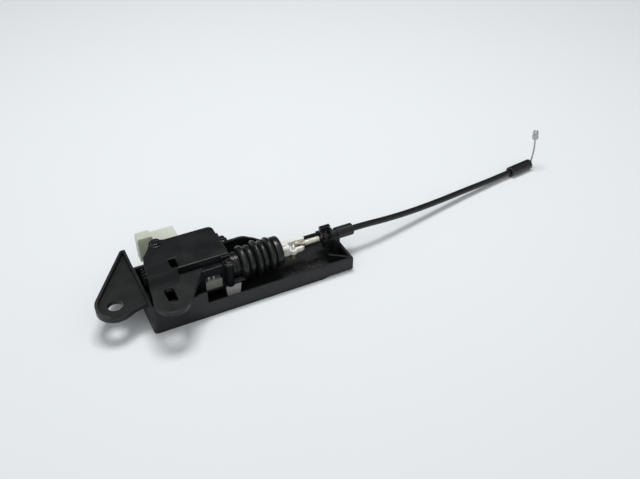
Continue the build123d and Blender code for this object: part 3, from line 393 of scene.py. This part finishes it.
def black_rubber():
    finish = Finish("rubber_black", (0.0070, 0.0073, 0.0075), 0.32, specular=0.4)
    bloom = finish.noise(5 * MM, 4.0)
    finish.tint(finish.between(bloom, 0.5, 0.85, 0.0, 0.5), (0.020, 0.020, 0.021))
    finish.vary_roughness(finish.noise(3 * MM, 3.0), 0.25, 0.38)
    finish.relief(finish.noise(0.8 * MM, 3.0), 0.010 * MM)
    return finish.material


def black_screw():
    finish = Finish("screw_black", (0.050, 0.049, 0.048), 0.24, metallic=0.9)
    edge_highlight = finish.soft_edges(0.28 * MM)
    screw_glints = finish.combine("MULTIPLY", edge_highlight, finish.between(finish.noise(1.8 * MM), 0.35, 0.65, 0.1, 1.0))
    # Painted glints: the edges are tinted lighter, in patches.
    finish.tint(screw_glints, (0.42, 0.41, 0.40))
    finish.vary_roughness(finish.noise(1.5 * MM, 3.0), 0.18, 0.36)
    return finish.material


def drawn_metal(name, color, roughness, edge_highlight_color, metallic=1.0, stain=0.5):
    """Drawn or turned metal with fine lines along X, a little staining and a painted highlight on its edges.
    """
    finish = Finish(name, color, roughness, metallic=metallic)
    edge_highlight = finish.soft_edges(0.12 * MM)
    stained = finish.between(finish.noise(2.5 * MM, 4.0), 0.45, 0.75, 0.0, stain)
    finish.tint(stained, [c * 0.62 for c in color])
    # Painted highlight: the edges are tinted lighter.
    finish.tint(edge_highlight, edge_highlight_color)
    finish.vary_roughness(finish.noise(0.8 * MM, 3.0), roughness - 0.08, roughness + 0.12)
    finish.relief(finish.noise(0.25 * MM, 2.0, stretch=(0.08, 1.0, 1.0)), 0.003 * MM)
    return finish.material


FINISHES = {
    "bracket_plastic": bracket_plastic(),
    "housing_plastic": housing_plastic(),
    "skirt_plastic": skirt_plastic(),
    "clip_plastic": clip_plastic(),
    "sleeve_plastic": sleeve_plastic(),
    "black_screw": black_screw(),
    "pale_plastic": pale_plastic(),
    "white_nylon": white_nylon(),
    "gear_plastic": gear_plastic(),
    "gear_dark": gear_dark(),
    "carrier_plastic": carrier_plastic(),
    "black_rubber": black_rubber(),
    "casing_plastic": casing_plastic(),
    "bright_steel": drawn_metal("steel_bright", (0.74, 0.73, 0.67), 0.30, (0.92, 0.91, 0.86)),
    "wire_steel": drawn_metal("steel_wire", (0.40, 0.41, 0.40), 0.36, (0.50, 0.51, 0.50)),
    "plated_steel": drawn_metal(
        "steel_plated", (0.72, 0.70, 0.60), 0.30, (0.90, 0.88, 0.80), metallic=0.75, stain=0.15
    ),
    "motor_steel": drawn_metal("steel_motor", (0.45, 0.45, 0.44), 0.38, (0.65, 0.65, 0.64)),
    "tinned_contact": drawn_metal("tin_contact", (0.66, 0.66, 0.64), 0.28, (0.85, 0.85, 0.84)),
    "brass_contact": drawn_metal("brass_contact", (0.70, 0.52, 0.26), 0.30, (0.90, 0.74, 0.45)),
    "zinc": drawn_metal("zinc_cast", (0.50, 0.51, 0.52), 0.48, (0.68, 0.69, 0.70)),
}

NODE_FINISH = {
    "tray_bracket": "bracket_plastic",
    "actuator_base": "housing_plastic",
    "actuator_cover": "housing_plastic",
    "cover_screws": "black_screw",
    "connector_shell": "pale_plastic",
    "connector_pins": "tinned_contact",
    "support_foot": "white_nylon",
    "contact_carrier": "carrier_plastic",
    "contact_blades": "tinned_contact",
    "motor_end_cap": "gear_plastic",
    "motor_can": "motor_steel",
    "motor_shaft": "bright_steel",
    "motor_pinion": "brass_contact",
    "drive_gear": "gear_dark",
    "gear_axle": "bright_steel",
    "rack_rod": "white_nylon",
    "rod_bush": "white_nylon",
    "bellows": "black_rubber",
    "clevis": "white_nylon",
    "cable_hook": "plated_steel",
    "crimp_sleeve": "plated_steel",
    "inner_wire": "bright_steel",
    "cable_fitting": "sleeve_plastic",
    "retaining_clip": "clip_plastic",
    "cable_casing": "casing_plastic",
    "end_ferrule": "clip_plastic",
    "wire_end": "bright_steel",
    "cable_nipple": "zinc",
}


def dress_nodes():
    for name, finish in NODE_FINISH.items():
        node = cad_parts[name]
        node.data.materials.clear()
        node.data.materials.append(FINISHES[finish])


# Pieces: the turn from which an edge stays sharp, and how many sides round pieces have
SHARP_ANGLE = math.radians(32.0)
TURNED_SIDES = 96
WIRE_SIDES = 48
NIPPLE_SIDES = 64


def prism(bm, outline, low, high):
    """An upright solid with the outline of (x, y) points, from low to high, in millimetres."""
    bottom = [bm.verts.new(Vector((x, y, low)) * MM) for x, y in outline]
    top = [bm.verts.new(Vector((x, y, high)) * MM) for x, y in outline]
    bm.faces.new(bottom)
    bm.faces.new(top)
    for index in range(len(outline)):
        after = (index + 1) % len(outline)
        bm.faces.new((bottom[index], bottom[after], top[after], top[index]))


def box(bm, x_range, y_range, z_range):
    left, right = x_range
    front, back = y_range
    prism(bm, [(left, front), (right, front), (right, back), (left, back)], *z_range)


def join_rings(bm, rings, capped=False):
    """Faces from each ring of points to the next, and over the first and the last ring if capped."""
    for near, far in zip(rings, rings[1:]):
        for index in range(len(near)):
            after = (index + 1) % len(near)
            bm.faces.new((near[index], near[after], far[after], far[index]))
    if capped:
        bm.faces.new(rings[0])
        bm.faces.new(rings[-1])


def new_object(name, build):
    bm = bmesh.new()
    build(bm)
    bmesh.ops.recalc_face_normals(bm, faces=bm.faces)
    data = bpy.data.meshes.new(name)
    bm.to_mesh(data)
    bm.free()
    made = bpy.data.objects.new(name, data)
    bpy.context.scene.collection.objects.link(made)
    return made


def cut_copy(name, node_name, build_cutter, finish):
    """A copy of a node's mesh with the cutter taken away from it, shown in place of the node."""
    made = bpy.data.objects.new(name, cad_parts[node_name].data.copy())
    bpy.context.scene.collection.objects.link(made)
    bm = bmesh.new()
    bm.from_mesh(made.data)
    bmesh.ops.remove_doubles(bm, verts=bm.verts, dist=0.001 * MM)
    bm.to_mesh(made.data)
    bm.free()
    own_normals = made.data.attributes.get("custom_normal")
    if own_normals:
        made.data.attributes.remove(own_normals)
    cutter = new_object(name + "_cutter", build_cutter)
    cut = made.modifiers.new("cut", "BOOLEAN")
    cut.operation = "DIFFERENCE"
    cut.solver = "EXACT"
    cut.object = cutter
    graph = bpy.context.evaluated_depsgraph_get()
    data = bpy.data.meshes.new_from_object(made.evaluated_get(graph))
    made.modifiers.clear()
    made.data = data
    bpy.data.objects.remove(cutter)
    data.materials.clear()
    data.materials.append(FINISHES[finish])
    data.shade_smooth()
    data.set_sharp_from_angle(angle=SHARP_ANGLE)
    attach(made, "root")
    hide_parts(node_name)


def mesh_piece(name, build, finish, body, replaces=()):
    """A piece whose faces build(bm) makes, in its finish, on its body."""
    made = new_object(name, build)
    made.data.shade_smooth()
    made.data.set_sharp_from_angle(angle=SHARP_ANGLE)
    made.data.materials.append(FINISHES[finish])
    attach(made, body)
    if replaces:
        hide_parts(*replaces)
    return made


def turned(profile):
    """Builder of a surface turned about the rod axis from (x, radius) points in millimetres."""

    def build(bm):
        rings = []
        for x, radius in profile:
            ring = []
            for step in range(TURNED_SIDES):
                angle = 2 * math.pi * step / TURNED_SIDES
                y = radius * MM * math.cos(angle)
                z = AXIS_Z + radius * MM * math.sin(angle)
                ring.append(bm.verts.new((x * MM, y, z)))
            rings.append(ring)
        join_rings(bm, rings)

    return build


# Bellows: crest place and radius of each fold, in millimetres, between the cuff and the cap
CUFF_END = -6.6
CAP_START = 22.0
BELLOWS_START = -12.3
BELLOWS_END = 27.5
FOLDS = ((-2.6, 12.8), (2.8, 11.7), (8.3, 13.7), (13.4, 11.9), (18.6, 13.2))
VALLEY = 9.4
FOLD_SAMPLES = 14
CREST_FORM = 0.6
RUBBER = 1.3
# The cuff's and the cap's profiles: (x, radius), in millimetres
CUFF_PROFILE = (
    (CUFF_END, 6.95),
    (BELLOWS_START, 6.95),
    (BELLOWS_START, 9.3),
    (-12.1, 9.5),
    (-10.6, 9.5),
    (-10.3, 9.1),
    (-9.5, 9.1),
    (-9.2, 9.5),
    (-8.0, 9.5),
    (-7.7, 9.1),
    (-7.2, 9.1),
    (-6.9, 9.4),
    (CUFF_END, 9.4),
)
CAP_PROFILE = (
    (CAP_START, 8.2),
    (CAP_START, 11.2),
    (22.3, 11.8),
    (22.9, 12.0),
    (26.6, 12.0),
    (27.2, 11.7),
    (BELLOWS_END, 11.1),
    (BELLOWS_END, 4.1),
    (24.5, 4.1),
    (24.5, 8.2),
)


def fold_profile():
    """The folds' outline: a round crest at each fold and a tight valley between two of them."""
    valleys = [CUFF_END]
    valleys += [(a[0] + b[0]) / 2 for a, b in zip(FOLDS, FOLDS[1:])]
    valleys += [CAP_START]
    outer = []
    for (crest, radius), start, end in zip(FOLDS, valleys, valleys[1:]):
        for sample in range(FOLD_SAMPLES + 1):
            share = -math.cos(math.pi * sample / FOLD_SAMPLES)
            half = (crest - start) if share < 0 else (end - crest)
            rise = max(0.0, 1 - share * share) ** CREST_FORM
            outer.append((crest + share * half, VALLEY + (radius - VALLEY) * rise))
    return outer


def rubber_piece(name, profile, body):
    """A turned piece of the bellows, whose profile closes on its first point."""
    build = turned([*profile, profile[0]])
    return mesh_piece(name, build, "black_rubber", body, ["bellows"])


def make_bellows():
    outer = fold_profile()
    inner = [(x, radius - RUBBER) for x, radius in outer[::-1]]
    folds = rubber_piece("bellows_folds", outer + inner, "root")
    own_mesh(folds)
    rubber_piece("bellows_cuff", CUFF_PROFILE, "root")
    rubber_piece("bellows_cap", CAP_PROFILE, "rod")


# Low ear: where its hole and its top are, in millimetres, and the stretch of its round end without a rim, as
# angles about the hole in degrees
EAR_HOLE = (-98.7, -7.0)
EAR_TOP = 22.0
RIM_INNER = 11.3
RIM_OUTER = 13.9
RIM_ROOM = 4.0
PLAIN_FROM = -118
PLAIN_TO = 44
PLAIN_STEP = 6


def plain_edge(bm):
    """The room above the low ear's round end where the rim has run out."""
    angles = [math.radians(a) for a in range(PLAIN_FROM, PLAIN_TO + 1, PLAIN_STEP)]

    def arc(radius):
        return [(EAR_HOLE[0] + radius * math.cos(a), EAR_HOLE[1] + radius * math.sin(a)) for a in angles]

    prism(bm, arc(RIM_OUTER) + arc(RIM_INNER)[::-1], EAR_TOP, EAR_TOP + RIM_ROOM)


# Skirt from the cover's front edge down to the high ear, in millimetres: its top and foot are (y, z), and
# its stations are (x, share of the full drop)
SKIRT_TOP = (-7.3, 38.52)
SKIRT_FOOT = (-16.6, 33.02)
SKIRT_BACK = -5.5
SKIRT_UNDER = 0.3
SKIRT_STATIONS = ((-74.2, 1.0), (-55.4, 1.0), (-54.2, 0.8), (-53.2, 0.45), (-52.6, 0.15))
SKIRT_SAMPLES = 12


def skirt(bm):
    """An S-shaped sheet that flattens at its right end, over a flat underside."""
    run = SKIRT_FOOT[0] - SKIRT_TOP[0]
    fall = SKIRT_FOOT[1] - SKIRT_TOP[1]
    rings = []
    for x, share in SKIRT_STATIONS:
        line = [(SKIRT_BACK, SKIRT_TOP[1])]
        for sample in range(SKIRT_SAMPLES + 1):
            way = sample / SKIRT_SAMPLES
            drop = (1 - math.cos(math.pi * way)) / 2
            line.append((SKIRT_TOP[0] + run * way * share, SKIRT_TOP[1] + fall * drop * share))
        low = SKIRT_TOP[1] + fall * share - SKIRT_UNDER
        line += [(line[-1][0], low), (SKIRT_BACK, low)]
        rings.append([bm.verts.new((x * MM, y * MM, z * MM)) for y, z in line])
    join_rings(bm, rings, capped=True)


# Small ribs on the housing's left wall: their places along Y and their size, in millimetres
WALL_RIBS = (5.0, 1.7, -1.6, -4.9)
WALL_RIB_HALF = 0.6
WALL_RIB_OUT = 1.1
WALL_RIB_IN = 0.6
WALL_RIB_Z = (29.0, 36.6)


def wall_ribs(bm):
    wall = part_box("actuator_base")[0].x / MM
    for y in WALL_RIBS:
        width = (y - WALL_RIB_HALF, y + WALL_RIB_HALF)
        box(bm, (wall - WALL_RIB_OUT, wall + WALL_RIB_IN), width, WALL_RIB_Z)


# Clip: the lugs' back halves are lower, and a framed bridge joins the lugs, in millimetres
CLIP_X = (61.7, 70.2)
CLIP_LEG = 1.7
LUG_ROOM_SIDE = 1
LUG_ROOM_BACK = 9.0
LUG_ROOM_Z = (21.5, 31.0)
BRIDGE_Y = (-1.2, 1.6)
BRIDGE_Z = (25.8, 30.0)
BRIDGE_WALL_Y = (0.6, BRIDGE_Y[1])
LEDGE = 1.3
LEG_BELOW = 3.0


def clip_room(bm):
    """The room above the back halves of the lugs."""
    width = (CLIP_X[0] - LUG_ROOM_SIDE, CLIP_X[1] + LUG_ROOM_SIDE)
    box(bm, width, (BRIDGE_Y[1], LUG_ROOM_BACK), LUG_ROOM_Z)


def clip_bridge(bm):
    """A ledge on top, a leg at each end and a thin wall at the back."""
    left, right = CLIP_X
    under = BRIDGE_Z[1] - LEDGE
    leg_z = (BRIDGE_Z[0] - LEG_BELOW, under)
    box(bm, CLIP_X, BRIDGE_Y, (under, BRIDGE_Z[1]))
    box(bm, (left, left + CLIP_LEG), BRIDGE_Y, leg_z)
    box(bm, (right - CLIP_LEG, right), BRIDGE_Y, leg_z)
    box(bm, (left + CLIP_LEG, right - CLIP_LEG), BRIDGE_WALL_Y, (BRIDGE_Z[0], under))


def make_trims():
    cut_copy("tray", "tray_bracket", plain_edge, "bracket_plastic")
    cut_copy("clip", "retaining_clip", clip_room, "clip_plastic")
    mesh_piece("clip_bridge", clip_bridge, "clip_plastic", "root")
    mesh_piece("cover_skirt", skirt, "skirt_plastic", "root")
    mesh_piece("housing_ribs", wall_ribs, "housing_plastic", "root")


# Wire that stands out of the ferrule: its points are measured from the ferrule's end, in millimetres
FERRULE_END = Vector((292.979, 30.8305, 4.65))
WIRE_POINTS = (
    (-2.4, -0.3, 0.0),
    (0.4, 0.05, 0.0),
    (1.75, 0.35, 1.2),
    (2.5, 0.6, 4.4),
    (3.5, 1.0, 10.3),
    (3.75, 1.4, 17.2),
    (3.0, 1.7, 24.9),
    (2.85, 1.82, 26.9),
)
WIRE_RADIUS = 0.75
STRANDS = 6
STRAND_DEPTH = 0.13
STRAND_TURN = 0.55
WIRE_STEPS = 10
# Nipple on the wire's end: its direction, its profile as (height, radius) in millimetres, and its waist
NIPPLE_WAY = Vector((-0.063085, 0.050468, 0.996731))
NIPPLE_PROFILE = (
    (0.0, 1.2),
    (0.0, 2.2),
    (0.25, 2.6),
    (0.6, 2.72),
    (3.1, 2.72),
    (3.5, 2.42),
    (4.2, 2.36),
    (4.6, 2.5),
    (6.9, 2.5),
    (7.5, 2.2),
    (7.8, 1.7),
    (7.85, 1.3),
    (7.5, 1.0),
)
PINCH = 0.12
PINCH_FROM = 3.2
PINCH_TO = 4.5


def smooth_path(points, steps):
    """Points on a smooth line through the points, steps to each stretch."""
    ends = [points[0] * 2 - points[1], *points, points[-1] * 2 - points[-2]]
    line = []
    for before, start, end, after in zip(ends, ends[1:], ends[2:], ends[3:]):
        for step in range(steps):
            t = step / steps
            curve = (end - before) * t + (before * 2 - start * 5 + end * 4 - after) * t * t
            curve += (start * 3 - before - end * 3 + after) * t * t * t
            line.append(start + curve / 2)
    return line + [points[-1]]


def swept(path, radius_at):
    """Builder of a closed tube along the path in millimetres, radius_at(index, angle) wide."""

    def build(bm):
        side = Vector((0.0, 1.0, 0.0))
        rings = []
        for index, point in enumerate(path):
            ahead = path[min(index + 1, len(path) - 1)] - path[max(index - 1, 0)]
            if ahead.length > 0:
                way = ahead.normalized()
            side = (side - way * side.dot(way)).normalized()
            other = way.cross(side)
            ring = []
            for step in range(WIRE_SIDES):
                angle = 2 * math.pi * step / WIRE_SIDES
                out = side * math.cos(angle) + other * math.sin(angle)
                ring.append(bm.verts.new((point + out * radius_at(index, angle)) * MM))
            rings.append(ring)
        join_rings(bm, rings, capped=True)

    return build


def strand(index, angle):
    """Radius of the wire, whose strands turn as it goes along."""
    wave = abs(math.cos(STRANDS / 2 * angle + STRAND_TURN * index))
    return WIRE_RADIUS * (1 - STRAND_DEPTH + STRAND_DEPTH * wave)


def barrel(base):
    """Builder of the nipple, a turned barrel whose waist is pinched flat, on the base in millimetres."""

    def build(bm):
        other = NIPPLE_WAY.cross(Vector((1.0, 0.0, 0.0))).normalized()
        side = other.cross(NIPPLE_WAY)
        rings = []
        for height, radius in NIPPLE_PROFILE:
            pinch = PINCH if PINCH_FROM < height < PINCH_TO else 0.0
            ring = []
            for step in range(NIPPLE_SIDES):
                angle = 2 * math.pi * step / NIPPLE_SIDES
                narrow = 1 - pinch * math.cos(angle) ** 2
                out = (side * math.cos(angle) + other * math.sin(angle)) * radius * narrow
                ring.append(bm.verts.new((base + NIPPLE_WAY * height + out) * MM))
            rings.append(ring)
        join_rings(bm, rings, capped=True)

    return build


def make_wire_end():
    """The stranded wire and the nipple."""
    path = smooth_path([FERRULE_END + Vector(p) for p in WIRE_POINTS], WIRE_STEPS)
    wire = mesh_piece("wire", swept(path, strand), "wire_steel", "root", ["wire_end"])
    rise = Vector(WIRE_POINTS[-2])
    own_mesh(wire)
    build = barrel(FERRULE_END + rise)
    nipple = mesh_piece("nipple_barrel", build, "zinc", "nipple", ["cable_nipple"])
    return [wire, nipple]


def make_casing():
    casing = route_curve("casing", ROUTE, CASING_DIAMETER / 2)
    casing.data.materials.append(FINISHES["casing_plastic"])
    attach(casing, "root")
    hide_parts("cable_casing")
    make_wire_end()


# Studio
FLOOR_COLOR = (0.768, 0.797, 0.811)
WORLD_COLOR = (0.88, 0.895, 0.91)
WORLD_LEVEL = 0.42
FLOOR_SIZE = 8.0
LAMP_POWER = 8.5
LAMP_SIZE = (0.5, 0.35)
LAMP_AT = (0.10, 0.22, 1.15)
LAMP_AIM = (0.08, 0.0, 0.0)
# Soft patches of the studio: direction, cosines where each starts and is full, and its change of level
DARK_BACK = ((0.358, 0.702, 0.616), 0.55, 0.95, -0.35)
BRIGHT_FRONT = ((-0.28, -0.54, 0.79), 0.70, 0.97, 0.85)
BRIGHT_TOP = ((0.0, 0.0, 1.0), 0.90, 0.99, 0.35)


def make_world():
    """An even studio that is darker behind the object and brighter above and in front of it."""
    world = bpy.data.worlds.new("studio")
    bpy.context.scene.world = world
    world.use_nodes = True
    tree = world.node_tree
    sky = tree.nodes["Background"]
    sky.inputs["Color"].default_value = (*WORLD_COLOR, 1.0)
    way = tree.nodes.new("ShaderNodeTexCoord").outputs["Generated"]
    level = None
    for direction, start, full, change in (DARK_BACK, BRIGHT_FRONT, BRIGHT_TOP):
        near = tree.nodes.new("ShaderNodeVectorMath")
        near.operation = "DOT_PRODUCT"
        near.inputs[1].default_value = direction
        tree.links.new(way, near.inputs[0])
        fade = tree.nodes.new("ShaderNodeMapRange")
        fade.interpolation_type = "SMOOTHSTEP"
        for name, number in (("From Min", start), ("From Max", full), ("To Min", 0.0), ("To Max", change)):
            fade.inputs[name].default_value = number
        tree.links.new(near.outputs["Value"], fade.inputs["Value"])
        total = tree.nodes.new("ShaderNodeMath")
        total.operation = "ADD"
        total.inputs[1].default_value = WORLD_LEVEL
        tree.links.new(fade.outputs["Result"], total.inputs[0])
        if level is not None:
            tree.links.new(level, total.inputs[1])
        level = total.outputs["Value"]
    tree.links.new(level, sky.inputs["Strength"])


def make_lamp():
    data = bpy.data.lights.new("overhead", "AREA")
    data.energy = LAMP_POWER
    data.shape = "RECTANGLE"
    data.size, data.size_y = LAMP_SIZE
    lamp = bpy.data.objects.new("overhead", data)
    lamp.location = LAMP_AT
    lamp.rotation_euler = (Vector(LAMP_AT) - Vector(LAMP_AIM)).to_track_quat("Z", "Y").to_euler()
    bpy.context.scene.collection.objects.link(lamp)


def make_studio():
    bpy.ops.mesh.primitive_plane_add(size=FLOOR_SIZE, location=(0, 0, 0))
    floor = bpy.context.object
    floor.name = "floor"
    finish = Finish("floor_pale", FLOOR_COLOR, 0.75, specular=0.2)
    cloud = finish.between(finish.noise(60 * MM, 3.0), 0.3, 0.7, 0.0, 0.25)
    finish.tint(cloud, [c * 1.02 for c in FLOOR_COLOR])
    floor.data.materials.append(finish.material)
    make_world()
    make_lamp()


make_camera()
make_studio()
make_casing()
make_trims()
dress_nodes()
make_bellows()

bpy.context.scene.view_settings.view_transform = "Standard"
